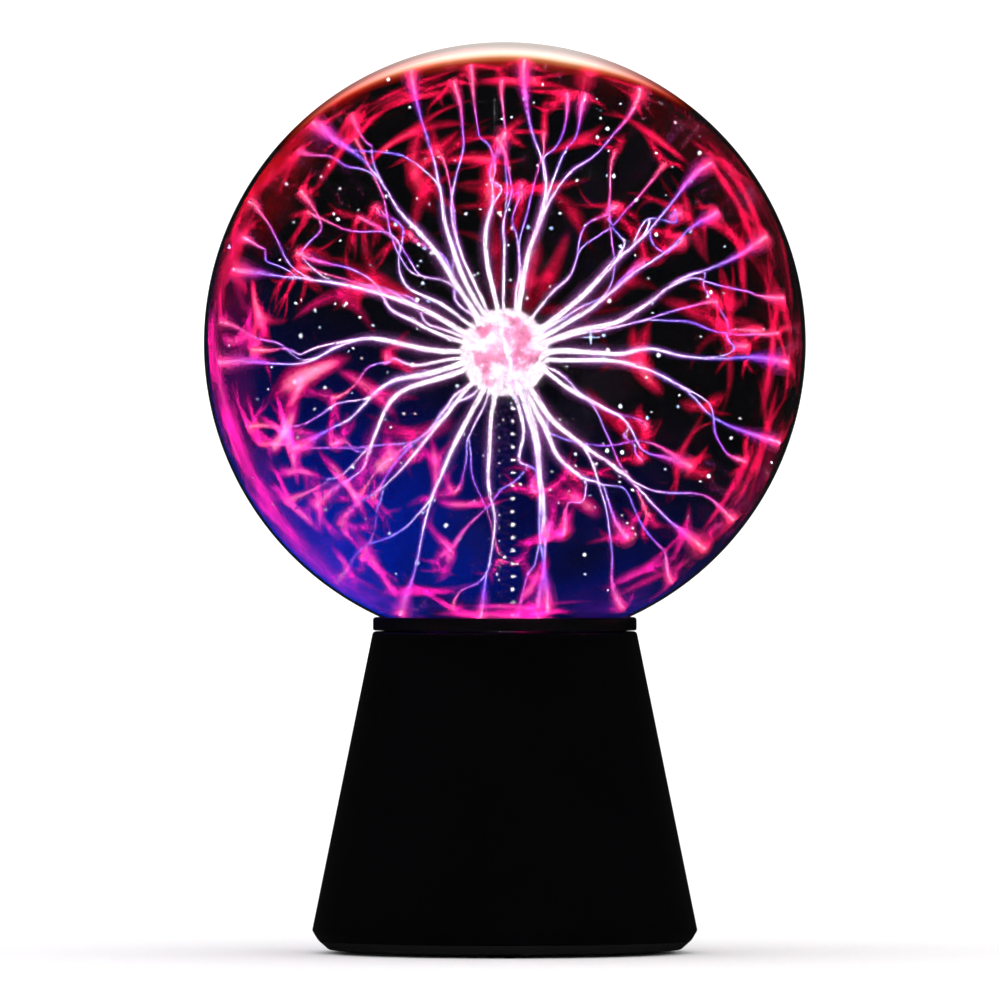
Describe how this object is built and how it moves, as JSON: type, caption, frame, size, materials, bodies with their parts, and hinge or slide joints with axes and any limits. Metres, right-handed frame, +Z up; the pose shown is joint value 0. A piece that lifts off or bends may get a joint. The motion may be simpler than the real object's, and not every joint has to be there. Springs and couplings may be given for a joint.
{
  "type": "plasma ball",
  "caption": "Sealed glass globe with a central electrode on a stem, seated in a soft ring on a black truncated-cone base with a rear control panel.",
  "frame": {"origin": "on the table, under the centre of the four feet", "axes": "+Z up along the axis of the globe and base, -Y towards the front, +Y towards the control panel at the back"},
  "size_m": [0.1996, 0.1996, 0.3023],
  "materials": {
    "globe_glass": "clear blown glass, polished",
    "stem_glass": "clear glass tube, flame worked",
    "electrode_wool": "steel wool behind a conductive coating, glowing white-pink in use",
    "base_gloss": "black, gloss",
    "black_matte": "black, fine matte",
    "knob_plastic": "black, satin",
    "rubber": "black, soft",
    "foam": "grey closed-cell foam",
    "silicone": "off-white silicone",
    "red_silicone": "red silicone insulation",
    "board": "green solder mask",
    "ferrite": "dark grey ferrite",
    "copper": "enamelled copper wire",
    "epoxy": "blue-black potting epoxy",
    "cap_sleeve": "shrunk sleeve, dark blue",
    "film_cap": "orange-brown epoxy dip",
    "aluminium": "extruded, plain",
    "brass": "turned",
    "steel": "plated"
  },
  "bodies": {
    "base": {"globe_glass": "globe_glass", "stem_glass": "stem_glass", "exhaust_tip": "stem_glass", "electrode_core": "electrode_wool", "stem_plug": "silicone", "contact_pin": "brass", "hv_spring": "steel", "hv_lead": "red_silicone", "seat_ring": "rubber", "base_shell": "base_gloss", "bottom_cover": "black_matte", "neck_sleeve": "foam", "neck_clamp": "black_matte", "control_panel": "black_matte", "dc_jack": "black_matte", "dc_jack_pin": "steel", "mode_switch_body": "steel", "sensitivity_pot": "steel", "pot_nut": "steel", "microphone": "aluminium", "circuit_board": "board", "transformer_core": "ferrite", "primary_coil": "copper", "hv_coil": "epoxy", "heat_sink": "aluminium", "power_transistor": "black_matte", "transistor_screw": "steel", "filter_capacitor": "cap_sleeve", "timing_capacitor": "cap_sleeve", "film_capacitor": "film_cap", "driver_chip": "black_matte", "dc_lead_red": "red_silicone", "dc_lead_black": "black_matte", "switch_lead": "silicone", "pot_lead": "silicone", "mic_lead": "silicone", "rubber_foot_1": "rubber", "cover_screw_1": "steel", "board_screw_1": "steel", "rubber_foot_2": "rubber", "cover_screw_2": "steel", "board_screw_2": "steel", "rubber_foot_3": "rubber", "cover_screw_3": "steel", "board_screw_3": "steel", "rubber_foot_4": "rubber", "cover_screw_4": "steel", "board_screw_4": "steel", "clamp_screw_1": "steel", "clamp_screw_2": "steel", "clamp_screw_3": "steel"},
    "slider": {"mode_switch_slider": "knob_plastic"},
    "dial": {"pot_shaft": "brass", "sensitivity_knob": "knob_plastic"}
  },
  "joints": [
    {"name": "mode_slide", "type": "slide", "parent": "base", "child": "slider", "axis": [1, 0, 0], "range_m": [-0.006, 0]},
    {"name": "sensitivity_turn", "type": "hinge", "parent": "base", "child": "dial", "pos_m": [0.017, 0.05, 0.024], "axis": [0, 1, 0], "range_deg": [-150, 150]}
  ]
}
